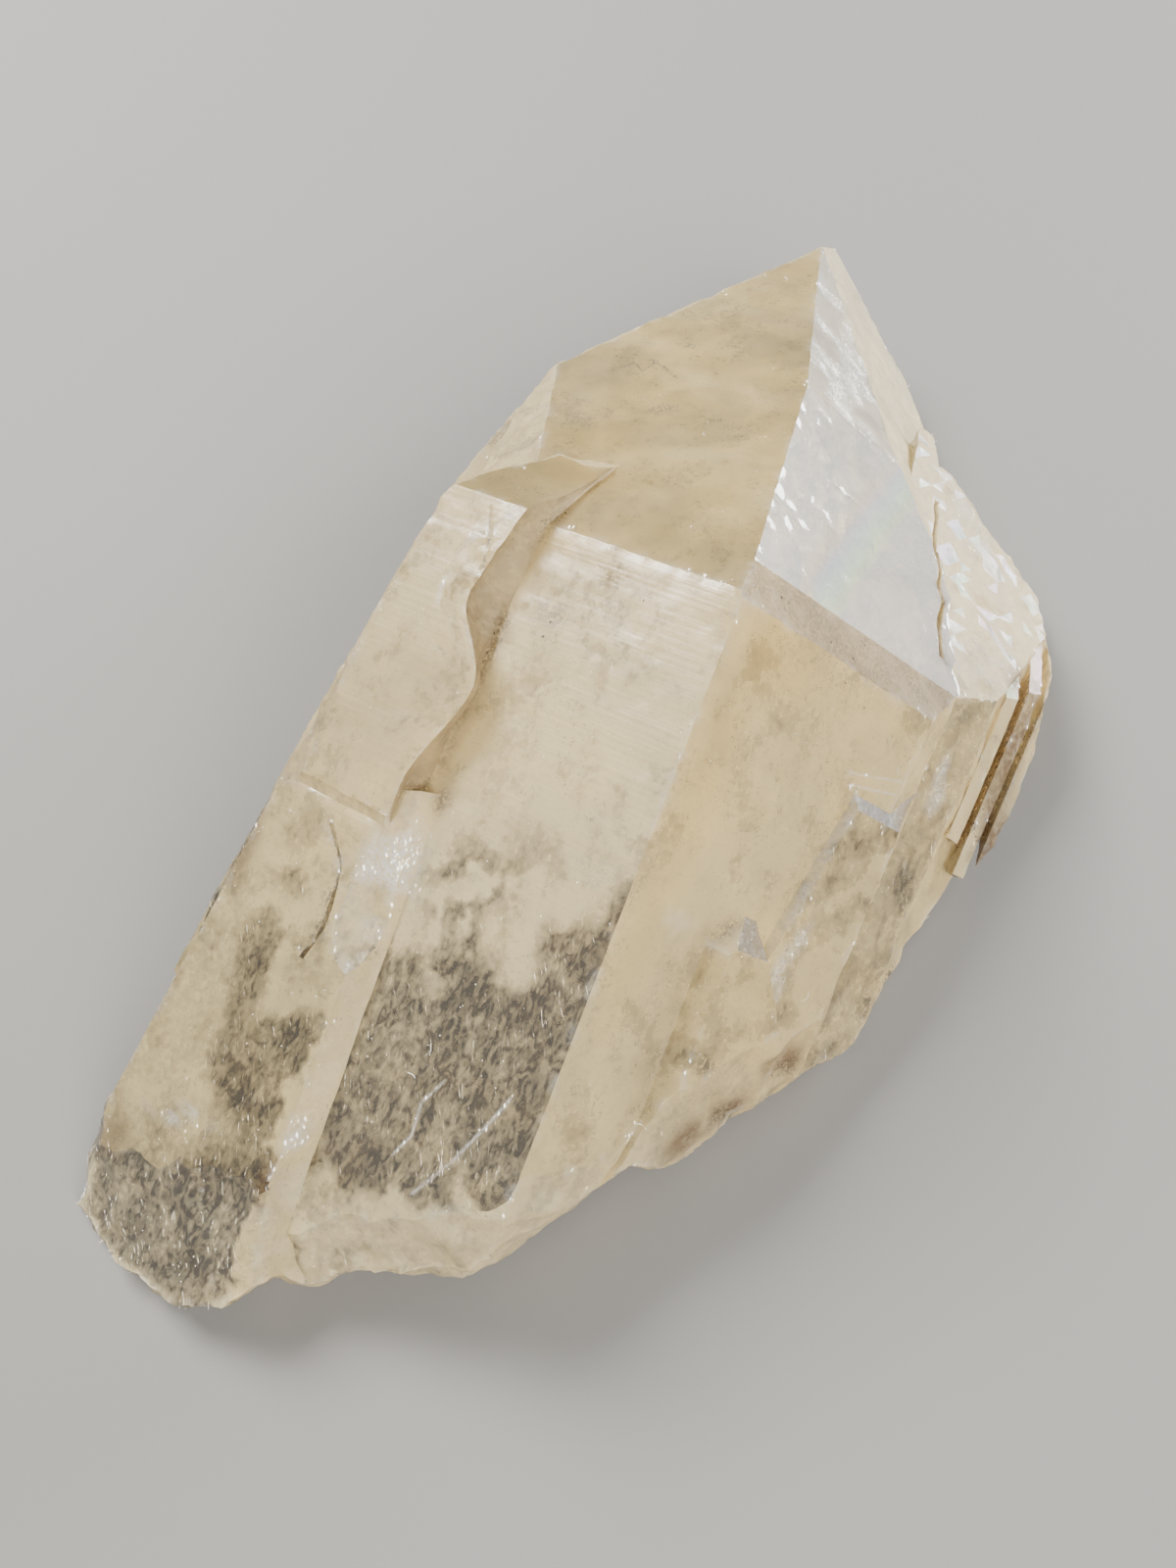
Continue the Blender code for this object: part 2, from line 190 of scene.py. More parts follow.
def fineMesh(source, settings):
    spacing = settings["spacing"] * mm
    rowGap = spacing * settings["rowSpacing"]
    linePlaces, lineWays = strokePoints()
    bm = bmesh.new()
    bm.from_mesh(source)
    bmesh.ops.remove_doubles(bm, verts=bm.verts, dist=settings["weld"])
    bmesh.ops.dissolve_limit(bm, angle_limit=radians(settings["flatAngle"]), verts=bm.verts, edges=bm.edges)
    bm.normal_update()
    points, ends, ridges, grooves = [v.co.copy() for v in bm.verts], {}, [], []
    bm.verts.index_update()
    for edge in bm.edges:
        a, b = edge.verts
        parts = int(edge.calc_length() / spacing) + 1
        row = [a.index]
        for k in range(1, parts):
            row.append(len(points))
            points.append(a.co.lerp(b.co, k / parts))
        ends[a.index, b.index] = row + [b.index]
        ends[b.index, a.index] = [b.index] + row[::-1]
        fold = edge.calc_face_angle_signed(0)
        if abs(fold) > radians(settings["sharpAngle"]):
            (ridges if fold > 0 else grooves).extend(row + [b.index])
    faces, normals = [], []
    for face in bm.faces:
        ring = []
        corners = [v.index for v in face.verts]
        for here, after in zip(corners, corners[1:] + corners[:1]):
            ring += ends[here, after][:-1]
        if len(ring) == 3:
            faces.append(ring)
            normals.append(face.normal.copy())
            continue
        side = face.normal.orthogonal().normalized()
        up = face.normal.cross(side)
        centre = face.calc_center_median()
        flat = [Vector(((points[i] - centre).dot(side), (points[i] - centre).dot(up))) for i in ring]
        sideways, upwards, normal = np.array(side), np.array(up), np.array(face.normal)
        edge = np.array(flat)
        nextEdge = np.roll(edge, -1, 0)
        low, high = edge.min(0), edge.max(0)

        # hairlines that lie on this face
        apart = linePlaces - np.array(centre)
        onFace = np.abs(apart @ normal) < settings["lineReach"] * mm
        fine = []
        for place, way in zip(apart[onFace], lineWays[onFace]):
            across = np.cross(way, normal) * settings["lineRow"] * mm
            for row in (-2, -1, 0, 1, 2):
                spot = place + across * row
                spot = np.array((spot @ sideways, spot @ upwards))
                over = (edge[:, 1] > spot[1]) != (nextEdge[:, 1] > spot[1])
                a, b = edge[over], nextEdge[over]
                cuts = a[:, 0] + (spot[1] - a[:, 1]) / (b[:, 1] - a[:, 1]) * (b[:, 0] - a[:, 0])
                inside = (cuts > spot[0]).sum() % 2
                if inside and np.hypot(*(edge - spot).T).min() > settings["lineToEdge"] * mm:
                    if not fine or np.hypot(*(np.array(fine) - spot).T).min() > settings["lineApart"] * mm:
                        fine.append(spot)
        fineArray = np.array(fine) if fine else np.full((1, 2), 1e3)

        inner = [Vector(spot) for spot in fine]
        for j in range(int((high[1] - low[1]) / rowGap) + 1):
            y = low[1] + (j + 0.5) * rowGap
            # where this row crosses the outline
            over = (edge[:, 1] > y) != (nextEdge[:, 1] > y)
            a, b = edge[over], nextEdge[over]
            cuts = np.sort(a[:, 0] + (y - a[:, 1]) / (b[:, 1] - a[:, 1]) * (b[:, 0] - a[:, 0]))
            for x0, x1 in zip(cuts[::2], cuts[1::2]):
                xs = np.arange(np.ceil(x0 / spacing - (j % 2) / 2) + (j % 2) / 2, x1 / spacing) * spacing
                for x in xs:
                    if (np.abs(edge - (x, y)).sum(1).min() > settings["edgeGap"] * spacing
                            and np.hypot(fineArray[:, 0] - x, fineArray[:, 1] - y).min() > settings["lineGap"] * mm):
                        inner.append(Vector((x, y)))
        made = delaunay_2d_cdt(flat + inner, [], [list(range(len(flat)))], 1, 1e-9)
        place = []
        for spot, olds in zip(made[0], made[3]):
            known = [o for o in olds if o < len(ring)]
            if known:
                place.append(ring[known[0]])
            else:
                place.append(len(points))
                points.append(centre + side * spot.x + up * spot.y)
        for triangle in made[2]:
            faces.append([place[k] for k in triangle])
            normals.append(face.normal.copy())
    bm.free()
    made = bpy.data.meshes.new("crystal")
    made.from_pydata(points, [], faces)
    return made, np.array(normals), sorted(set(ridges)), sorted(set(grooves))


def nearest(points, chosen):
    # mm from every point to the nearest of the chosen ones
    tree = kdtree.KDTree(len(chosen))
    for k in chosen:
        tree.insert(points[k], int(k))
    tree.balance()
    return np.array([tree.find(p)[2] for p in points])


mesh, flatNormals, ridgePoints, groovePoints = fineMesh(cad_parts["quartz_crystal"].data, bodyMesh)
print("fine mesh:", len(mesh.polygons), "faces", round(time.time() - clock, 1), "s")
mesh.shade_smooth()
mesh.set_sharp_from_angle(angle=radians(bodyMesh["sharpAngle"]))

count = len(mesh.vertices)
places = np.empty(count * 3)
mesh.vertices.foreach_get("co", places)
places = intoCrystal(places.reshape(-1, 3))
corner = np.empty(len(mesh.loops), np.int64)
mesh.loops.foreach_get("vertex_index", corner)
at = places[corner]   # place of every face corner
facing = np.repeat(flatNormals @ turnToCrystal.T, 3, axis=0)   # flat normal of every face corner
toRidge = nearest(places, ridgePoints)[corner]
toGroove = nearest(places, groovePoints)[corner] if groovePoints else np.full(len(corner), 1e3)
out, across, along = at.T


def onFaces(turn, lean, offset=None, within=1.2):
    # corners on the faces of this direction, and of this distance from the front corner
    normal = faceNormal(turn, lean)
    mask = facing @ normal > cos(radians(bodyMesh["sameFace"]))
    if offset is not None:
        mask &= np.abs(at @ normal - offset) < within
    return mask.astype(float)


def turnedTo(direction):
    # how far each face looks towards this direction of the scene, from -1 to 1
    return facing @ np.array(toCrystal.to_3x3() @ Vector(direction))


def strongest(points, spots):
    # the strongest of these patches at every point: place, radius, amount
    return most(*[patch(points, place, radius) * amount for place, radius, amount in spots])


def ridged(points, size, seed, octaves=4):
    # 1 along thin winding lines, less beside them
    return 1 - np.abs(cloud(points, size, seed, octaves) - 0.5) * 2


def warped(points, reach, size, seed):
    # points pushed about by noise, which curls whatever is drawn on them
    push = [cloud(points, size, seed + k, 2) - 0.5 for k in range(3)]
    return points + reach * np.array(push).T


# masks of the faces: direction in degrees, mm from the front corner, and how near that
face = {name: onFaces(*place) for name, place in {
    "leftRhomb": (-30, 51.8, 0), "stepRhomb": (-30, 51.8, 4.3), "leftPrism": (-30, 90, 0),
    "rightRhomb": (30, 51.8, 0), "rightPrism": (30, 86.6, 0), "plate": (-30, 90, 5.6, 0.4),
    "step": (-30, 90, 4.6, 0.4), "band": (30, 55.6), "knob": (30, 86.6, 3.5), "shoulder": (30, 86.6, 1.6),
    "sideFlat": (30, 86.6, -4.6), "sideTop": (15.2, 51.3), "sideSlope": (12, 58, -15.5), "flaked": (30.2, 47.9),
    "ledges": (30, 51.8),
}.items()}
face["flaked"] = most(face["flaked"], onFaces(37.5, 47))
face["knob"] = most(face["knob"], onFaces(-30, 90, -14.7))
face["ledges"] *= (1 - face["rightRhomb"]) * (along < 0)   # the small tops of the knob and the shoulder
leftRhomb, leftPrism, rightPrism = face["leftRhomb"], face["leftPrism"], face["rightPrism"]
rightRhomb, sideTop, sideSlope, ledges = face["rightRhomb"], face["sideTop"], face["sideSlope"], face["ledges"]
# 1 on any face that grew, 0 where it broke
growth = most(*[onFaces(turn, lean) for turn in range(-150, 211, 60) for lean in (51.8, 90, 86.6)])
broken = 1 - most(growth, face["flaked"], face["band"])
band = face["band"] * (along < 8)
leftward = -0.5 * out - 0.866 * across   # mm left of the front ridge
behind = ramp(turnedTo((-0.225, 0.43, -0.875)), -0.16, -0.02)   # 1 on faces hidden from the front
print("growth", round(growth.mean(), 2), "broken", round(broken.mean(), 2))


def shared(shares):
    # each named face's own share, 0 elsewhere
    return most(*[share * face[name] for name, share in shares.items()])


# where the quartz is milky (1) or clear (0); patches are place, radius, amount
milkLook = {
    "clearBelow": -57, "fade": 16, "sway": 30, "jag": 12, "patchSize": (22, 22, 34), "wispSize": (5, 5, 17),
    "clearPatches": [
        ((-19, -45, -96), 13, 0.9), ((-15, -33, -119), (12, 14, 9), 0.9), ((-23, -47, -121), (8, 9, 9), 0.8),
        ((-13.6, -23.5, -14), (5, 9, 4), 0.35), ((-8, 14.3, -6), (6, 8, 6), 0.25), ((-19.5, 36, -19), (7, 10, 9), 0.85),
        ((-17, 36, -27), (6, 7, 9), 0.95), ((-14.9, 33.5, -38), (5, 6, 7), 0.8), ((-32.8, 50.7, -27), (7, 6, 10), 0.95),
        ((-6, 20, -58), (3, 5, 10), 0.7), ((-14, 27, -30), (4, 6, 9), 0.6), ((-2.3, 18.4, -62.7), (3, 5, 5), 0.7),
        ((-5.7, 24.5, -65), (3, 4, 3), 0.6), ((-25.6, 52, -43), (6, 8, 6), 0.6),
        ((-10.5, -18.1, -55), (7, 12, 6), 0.45),
    ],
    "milkPatches": [
        ((-6.2, -10.8, -108), (16, 22, 11), 1), ((-0.9, -1.5, -101), (10, 14, 9), 0.9),
        ((-19, -42, -106), (15, 17, 7), 0.9), ((-26, -54, -80), (9, 9, 12), 0.6),
        ((-13.5, -24.5, -78), (5, 4, 18), 0.45), ((-13.5, -30, -61), (7, 8, 17), 1.2),
        ((-3.5, 12, -85), (8, 14, 26), 1),
    ],
    "windows": {"step": 0.22, "knob": 0.3, "shoulder": 0.38, "rightPrism": 0.15, "leftPrism": 0.2,
                "leftRhomb": 0.16, "plate": 0.22, "sideTop": 0.5, "sideFlat": 0.4},
    "rimWindows": 0.28, "windowSize": (3.6, 3.6, 6.5), "hiddenWindows": 0.9, "hiddenSize": (15, 15, 26),
}
# the left prism face is clear between two slanting edges; the step left of it has a clear stretch of its own
leftClear = {
    "top": -53, "topSlope": -0.8, "bottom": -97.5, "bottomSlope": -0.33, "curl": 22, "least": 0.05,
    "cloud": [((-11, -19, -76), (9, 9, 20), 0.35)], "mottleSize": (2.4, 2.4, 5),
    "mottled": (((-10.5, -18, -56), (9, 15, 12), 0.75), ((-10, -17, -10), (14, 22, 14), 0.3)),
    "stepTop": (-84, -74), "stepOuter": (50, 55), "stepCloud": [((-20, -43, -108), (17, 18, 10), 1.1)],
    "stepClear": [((-19.5, -43, -67.4), (3, 4, 4), 0.4)],
}

grain = cloud(at, 2.6, 31, 3)
coarse = cloud(at, 9, 37, 3)
curled = warped(at, 8, 9, 15)
wisps = ridged(curled, (4, 4, 11), 29)
big = cloud(at, milkLook["patchSize"], 3)
wisp, veil = ridged(curled, milkLook["wispSize"], 11), ridged(curled, (3, 3, 9), 13, 3)
edge = milkLook["clearBelow"] + (big - 0.5) * milkLook["sway"] + (wisp - 0.6) * milkLook["jag"]
milk = ramp(along, edge - milkLook["fade"] / 2, edge + milkLook["fade"] / 2)
for place, radius, amount in milkLook["clearPatches"]:
    milk = milk - patch(at, place, radius) * amount
for place, radius, amount in milkLook["milkPatches"]:
    milk = milk + patch(at, place, radius) * amount
milk = np.clip(milk, 0, 1)
veils = 0.3 * ramp(wisp, 0.72, 0.98) + 0.25 * ramp(veil, 0.75, 0.98) + 0.3 * ramp(big, 0.45, 0.8)
milk = milk + veils * (1 - milk)

curl = (cloud(curled, (7, 7, 16), 19, 4) - 0.5) * leftClear["curl"]
top = leftClear["top"] + leftClear["topSlope"] * leftward + curl
bottom = leftClear["bottom"] + leftClear["bottomSlope"] * leftward + 0.6 * curl
prismMilk = most(ramp(along, top - 4, top + 5), 1 - ramp(along, bottom - 3, bottom + 3),
                 strongest(at, leftClear["cloud"]), 0.04 + 0.3 * ramp(wisps, 0.7, 0.97))
mottle = ramp(cloud(curled, leftClear["mottleSize"], 23, 3), 0.44, 0.6)
for place, radius, amount in leftClear["mottled"]:
    prismMilk = prismMilk - amount * mottle * patch(at, place, radius)
milk = np.where(leftPrism > 0, np.clip(prismMilk, leftClear["least"], 1), milk)

stepMilk = most(ramp(along, leftClear["stepTop"][0] + curl, leftClear["stepTop"][1] + curl),
                0.75 * ramp(leftward + 0.5 * curl, *leftClear["stepOuter"]),
                strongest(curled, leftClear["stepCloud"]), 0.04 + 0.3 * ramp(wisps, 0.66, 0.97))
stepMilk = stepMilk - strongest(at, leftClear["stepClear"])
milk = np.where(face["step"] > 0, np.clip(stepMilk, leftClear["least"], 1), milk)

# the warm strip between the two: the step's own wall, the edge above it and the broken end below it
strip = {"wall": (30, 84.8), "wallOffset": (-33.4, -29.4), "over": (21.5, 31.2), "overAlong": (-104, -71),
         "under": (23, 28), "underTop": -103, "jagSize": (6, 6, 5), "jag": 5, "milk": 0.95}
jag = (cloud(at, strip["jagSize"], 21, 3) - 0.5) * strip["jag"]
wallNormal = faceNormal(*strip["wall"])
onWall = (facing @ wallNormal > 0.985) & between(at @ wallNormal, *strip["wallOffset"]) & (along < -55)
overWall = (between(leftward, strip["over"][0], strip["over"][1] + jag) & between(along, *strip["overAlong"])
            & (face["step"] > 0))
underWall = (between(leftward, strip["under"][0], strip["under"][1] + jag) & (along < strip["underTop"])
             & (broken > 0))
face["strip"] = stripWall = (onWall | overWall | underWall).astype(float)

# right of the strip the broken end is milky, and so is the whole right side but for its clear patches
endMilk = broken * ramp(-leftward, -23, -21) * ramp(-along, 70, 84) * (0.75 + 0.25 * coarse)
rightMilk = ramp(-leftward, 0.5, 3) * (0.95 - strongest(curled, milkLook["clearPatches"]))
rightMilk = rightMilk * (along < 20) * (1 - leftPrism) * (1 - rightRhomb)
farMilk = ramp(across * 0.866 - out * 0.5, 1, 5) * (0.55 + 0.45 * ramp(along, -110, -60)) * rightPrism
milk = most(milk, strip["milk"] * stripWall, endMilk, rightMilk, farMilk,
            0.85 * face["knob"] + 0.72 * face["shoulder"])
milk = milk * (1 - 0.75 * rightRhomb) * (1 - 0.3 * face["sideFlat"])
# a pale rim round the lower end
milk = most(milk, 0.8 * (1 - ramp(toRidge, 0.4, 2.4)) * (along < -98) * ramp(coarse, 0.25, 0.5))
# small clearer windows in the milky faces, and larger ones on the hidden side
windows = most(shared(milkLook["windows"]), milkLook["rimWindows"] * broken * (along < 20))
milk = milk * (1 - windows * (1 - stripWall) * ramp(cloud(curled, milkLook["windowSize"], 45, 4), 0.5, 0.68))
hiddenClear = behind * ramp(cloud(curled, milkLook["hiddenSize"], 111, 4), 0.46, 0.6)
milk = milk * (1 - milkLook["hiddenWindows"] * hiddenClear)
milk -= 0.3 * ramp(cloud(curled, (9, 9, 7), 7, 4), 0.55, 0.95) * (1 - leftRhomb)
milk = milk * (1 - 0.5 * ledges)

# how light each part is, before its colour: random cloudy tone, and painted light and shade that makes whole faces, and
# strips beside their ridges, lighter or darker as the lamps fall on them
shade = 0.78 + 0.26 * cloud(at, (14, 14, 10), 9, 4) + 0.14 * cloud(at, (4, 4, 2.5), 12, 3)
# painted shade on the left rhomb and its step, painted light on the left prism and the strip
shade += 0.1 * leftPrism + 0.2 * stripWall - 0.2 * leftRhomb - 0.32 * face["stepRhomb"]
shade += rightPrism * (cloud(at, (5, 5, 45), 10, 4) - 0.5) * 0.25
shade -= 0.12 * leftPrism * patch(at, (-13.6, -23.5, -14), (12, 18, 14))
shade += (leftRhomb + leftPrism + 0.7 * rightPrism) * (cloud(curled, (7, 7, 11), 14, 4) - 0.5) * 0.3
# painted light and shade on parts of the left rhomb, beside the front ridge and at the left prism's top, and painted
# light on the lower broken end
shade += leftRhomb * (0.1 * patch(at, (-66, -20, 60), (26, 20, 26)) - 0.1 * (1 - ramp(along, 0, 30)))
shade += 0.1 * rightPrism * (1 - ramp(-leftward, 2, 14)) - 0.16 * leftPrism * ramp(along, -16, -1)
shade += 0.12 * broken * ramp(-along, 84, 100) * (leftward < 32)
# painted shade on the small ledges, the side slope and the band below the right rhomb
shade -= 0.38 * ledges + 0.3 * sideSlope + 0.3 * band

# rust stain, moss-like dirt, dirty inner corners and white bruises: place, radius, amount
marks = {
    "stain": [
        ((-47, 63, 4), (9, 10, 20), 1), ((-51.9, 68.1, -14.3), (10, 11, 15), 1.3), ((-48.3, 62.6, 13.8), (7, 8, 9), 1),
        ((-11.3, -29, -75), (4, 4.5, 10), 0.8), ((-9.9, -25.7, -109), (3.5, 4, 8), 0.7),
        ((-25.6, -53, -66), (3.5, 3.5, 9), 0.7), ((-19.6, 40, -62), (9, 9, 6), 0.9), ((-17, 34.2, -73), (9, 8, 7), 1),
        ((-12.7, 28.6, -77.5), (8, 7, 6), 0.9), ((-44.7, 62, -10), (8, 8, 11), 1.3),
        ((-27.8, 54.4, -42.3), (8, 9, 7), 0.6), ((5.2, 10.8, -90.9), (6, 8, 5), 0.45),
        ((-20, -30, -14), (6, 5, 18), 0.55), ((-19, -30, -40), (6, 5, 16), 0.55), ((-25, -53, -117), (5, 6, 6), 0.5),
    ],
    "dirt": [
        ((-13, -27.8, -69), (3.5, 4, 6), 0.9), ((-15.5, -36, -67), (2.5, 2.5, 4), 0.8),
        ((-38.7, 57, -43.4), (7, 6, 5), 1), ((-33.3, 54, -47.4), (7, 7, 5), 1), ((-29.5, 49, -57), (6, 6, 5), 0.9),
        ((-19.6, 40, -62), (9, 7, 4), 0.7), ((-17, 34.2, -73), (9, 8, 5), 0.7), ((-44.7, 63, -12), (6, 6, 8), 0.9),
        ((-2.3, 18.4, -62.7), (2.5, 3.5, 3.5), 0.8), ((-5.7, 24.7, -65.2), (2, 3, 2), 0.9),
        ((-13.6, -23.5, -14), (4, 7, 4), 0.55), ((-8.1, -14.1, -8.1), (3, 5, 4), 0.5),
        ((-7.5, 13.1, -0.5), (5, 7, 7), 0.45), ((-13, 24, -2), (6, 8, 7), 0.3), ((-5.3, 11.4, -18.8), (3, 4, 3), 0.5),
        ((-59.1, -22.1, 51), 2.8, 0.8), ((-41.5, -22, 32), (2.2, 4, 8), 0.6),
        ((-41.9, -33.2, 25), (7, 6, 7), 0.5), ((-16.5, -19.6, 5.7), (2.5, 4, 4), 0.35),
        ((-9.9, -25.7, -111), (3, 3, 4), 0.6), ((-51.9, 68.1, -14.3), (5, 6, 7), 0.7),
    ],
    "corners": [
        ((-21, -29, -20), (15, 13, 50), 1), ((-4, 20, -52), (10, 10, 16), 0.6), ((-42, 48, 18), (14, 16, 26), 0.9),
    ],
    "frost": [
        ((-12, -30, -56), (5, 6, 6.5), 0.9), ((-11.9, -29.8, -65), (5, 5, 8), 1), ((-13.8, -30, -60), (6, 7, 13), 1.3),
        ((-10.3, -29.8, -84.5), (1.8, 2.5, 5), 0.9), ((-10.9, -25.7, -101.3), (1.8, 2.5, 5), 0.8),
        ((-15.7, -38.4, -6), (2, 2.6, 4), 1), ((-13.6, -34.8, -3.1), (1.8, 2.2, 4), 1),
        ((-16.1, -39.1, -15.4), (1.6, 2, 5), 0.8), ((-50.3, 5.5, 51.3), (3.5, 3.5, 4), 0.8),
        ((-53.4, 14.8, 49.1), (3.5, 7, 3.5), 0.8), ((-65.7, 41.5, 48.4), (4, 5, 5), 0.7),
        ((-61.6, 47.3, 41.7), (3, 5, 6), 0.8), ((-39.2, 38.5, 17.5), (3, 4, 5), 0.6), ((-24, 47, -3), (4, 3, 10), 0.8),
        ((-28.9, 49.9, -9), (4, 3, 8), 0.7), ((-50.8, 63.6, -32.6), (5, 6, 6), 0.5),
        ((-13.1, 31.5, -50), (2.5, 2.5, 9), 1), ((-14, 32.4, -41), (2, 2, 6), 0.7), ((-33.1, 49.2, -8.4), (3, 3, 9), 1),
        ((-31, 48.5, -20), (2.5, 3, 8), 0.8), ((-21.7, -46.8, -109), (6, 6, 1.5), 0.9),
        ((-18.6, -41.4, -106.4), (6, 6, 1.5), 0.6),
    ],
}

stain = strongest(at, marks["stain"]) * ramp(cloud(at, (7, 7, 14), 41), 0.15, 0.6)
dirt = strongest(at, marks["dirt"]) * ramp(cloud(at, 3, 43), 0.35, 0.62)
frost = strongest(at, marks["frost"]) * ramp(cloud(at, 4, 47), 0.25, 0.6)
# dirt in the grooves of the listed corners, brown beside them that is partly painted shade in the creases, and brown on
# down-facing broken faces near the floor
settled = {"reach": (0.3, 2), "dirt": 0.8, "rustReach": (0.5, 4), "rustAndShade": 0.5, "floor": (12, 34), "rim": 0.7}
inCorners = ramp(strongest(at, marks["corners"]), 0, 0.4)
underside = ramp(turnedTo((0, 0, -1)), -0.1, 0.5)
nearFloor = 1 - ramp(outOfCrystal(at)[:, 2] / mm, *settled["floor"])
inGroove = (1 - ramp(toGroove, *settled["reach"])) * ramp(coarse, 0.3, 0.6) * inCorners
besideGroove = (1 - ramp(toGroove, *settled["rustReach"])) * ramp(coarse, 0.25, 0.7) * inCorners
threads = ramp(ridged(curled, (13, 13, 24), 113), 0.95, 0.985)
stain = most(stain, broken * underside * nearFloor * ramp(coarse, 0.2, 0.8) * settled["rim"],
             besideGroove * settled["rustAndShade"], behind * threads * 0.8)
lowStrip = stripWall * (along < -76)
stain *= 1 - 0.7 * lowStrip
# painted shade, as brown stain and dirt, on the bands below the right rhomb and on the small ledges
stain = most(stain, band * (0.2 + 0.4 * coarse) + ledges * (0.15 + 0.25 * coarse))
dirt = most(dirt, inGroove * settled["dirt"], 0.3 * band * ramp(grain, 0.3, 0.6) + 0.3 * ledges)
dirt *= 1 - lowStrip * (1 - patch(at, (-9.7, -25.7, -113), (5, 5, 4)))
# ridges are bruised white, and so are the flaked faces in places
frost = most(frost, (1 - ramp(toRidge, 0.2, 1.2)) * ramp(cloud(at, 1.7, 33, 2), 0.5, 0.8) * 0.4,
             face["flaked"] * ramp(cloud(at, (5, 8, 5), 53), 0.52, 0.72) * 0.9,
             sideTop * ramp(cloud(at, (5, 6, 9), 59), 0.5, 0.75) * 0.7)
# the raised plate's step wall, turned from the light, gets brown that is partly stain and partly painted shade
grooveWall = (facing @ faceNormal(61, 90) > 0.9) * patch(at, (-21, -29, -20), (16, 12, 52)) * broken
grooveWall = ramp(grooveWall, 0, 0.2)
stain = most(stain, grooveWall * (0.35 + 0.5 * coarse))
frost *= (1 - grooveWall) * (1 - 0.7 * sideSlope) * (1 - ledges)

# warm tints and a painted silver sheen: each face's own share, then patches of a face
tints = {
    "honey": {"leftRhomb": 0.75, "stepRhomb": 0.95, "rightPrism": 0.35, "plate": 0.3, "step": 0.35, "knob": 0.5,
              "shoulder": 0.35, "band": 1, "sideFlat": 0.25, "strip": 0.4},
    "rim": 0.45, "leftPatches": 0.45, "leftTop": 0.35, "slopes": 0.8,
    "honeyPatches": [("leftRhomb", (-37, -31, 22), (9, 13, 8), 0.35), ("rightPrism", (-1, 7, -28), (6, 7, 60), 0.35),
                     ("rightPrism", (-6, 10, -4), (8, 12, 12), 0.45)],
    "cool": {"rightRhomb": 1, "flaked": 0.6, "sideTop": 0.6},
}
honey = most(shared(tints["honey"]), tints["rim"] * broken * ramp(along, -90, -60))
honey = honey + leftRhomb * (cloud(at, (9, 9, 6), 61) - 0.5) * tints["leftPatches"]
for name, place, radius, amount in tints["honeyPatches"]:
    honey = honey + face[name] * patch(at, place, radius) * amount
honey = honey + leftPrism * ramp(along, -16, -1) * tints["leftTop"]
honey = most(honey, tints["slopes"] * (sideSlope + ledges))
# painted sheen: a pale silver colour on the right rhomb, the flaked faces and the side top, for the reflection they
# show
cool = shared(tints["cool"])

# light caught by cracks inside: bright flecks, a streak across the right rhomb and a faint spectrum
flashes = {
    "streak": [(-14, 12.2, 7.7), (-27.1, 16, 19.7), (-43.6, 21.4, 34.4), (-60, 27, 48)], "streakWidth": 5.5,
    "streakGlow": 0.85, "spectrum": [(-61.2, 28.1, 49.5), (-37, 20, 28), (-15, 13.6, 8)], "spectrumWidth": 5,
    "rightFleck": ((-3.5, 11.8, -47.9), (5, 6, 6)), "rightGlow": 0.6,
    "leftFleck": ((-1, -2, -47), (4, 6, 6)), "leftGlow": 0.5,
}
glow = most(rightPrism * patch(at, *flashes["rightFleck"]) * ramp(grain, 0.35, 0.75) * flashes["rightGlow"],
            leftPrism * patch(at, *flashes["leftFleck"]) * ramp(grain, 0.45, 0.7) * flashes["leftGlow"],
            rightRhomb * nearLine(at, flashes["streak"], flashes["streakWidth"]) * flashes["streakGlow"])
rainbow = most(rightRhomb * nearLine(at, flashes["spectrum"], flashes["spectrumWidth"]),
               sideTop * ramp(cloud(at, (6, 6, 11), 63, 2), 0.42, 0.6))

# grey inclusions just under the surface, thickest by the front corner
specks = {
    "least": 0.18, "patches": 0.32, "rightRhomb": 0.2,
    "spots": [
        ((-11, -20, -12), (9, 14, 12), 0.5), ((-8, 14, -4), (10, 14, 14), 0.45), ((-10, 17, -20), (7, 9, 8), 0.35),
        ((-44, -24, 30), (10, 12, 16), 0.25), ((-19, -43, -66), (8, 8, 9), 0.5), ((-2, 10, -62), (6, 9, 18), 0.3),
    ],
    "faces": {"sideTop": 0.45, "step": 0.35, "knob": 0.3, "shoulder": 0.3},
}
speckle = specks["least"] + specks["patches"] * ramp(cloud(curled, (9, 9, 7), 51, 4), 0.5, 0.8)
speckle = most(speckle, strongest(curled, specks["spots"]), shared(specks["faces"]))
speckle *= 1 - (1 - specks["rightRhomb"]) * rightRhomb

# relief in mm: growth lines, slight waves, hollows where it broke, bruised ridges, hairlines
relief = {"wave": 0.16, "waveSize": 16, "lines": 0.09, "lineSize": (60, 60, 2.6), "hollow": 0.9, "hollowSize": 9,
          "rough": 0.35, "roughSize": 2.8, "wear": 0.27, "wearReach": 1.5, "pit": 0.12, "pitSize": (3.2, 3.2, 2.2),
          "scoop": 0.17, "scoopSize": 24, "scoopRings": 11, "bruise": 0.35}
calm = growth * (1 - 0.85 * rightRhomb - 0.5 * leftRhomb)
lift = calm * (cloud(at, relief["waveSize"], 71, 2) - 0.5) * relief["wave"]
lift += calm * (cloud(at, relief["lineSize"], 73, 3) - 0.5) * relief["lines"]
ragged = broken * (1 + 0.5 * ramp(-along, 85, 105))
lift += ragged * (ridged(at, relief["hollowSize"], 79, 3) - 0.75) * relief["hollow"]
lift += ragged * (cloud(at, relief["roughSize"], 83, 2) - 0.5) * relief["rough"]
worn = ramp(cloud(at, 1.9, 89, 2) * cloud(at, 13, 91, 2), 0.34, 0.6)
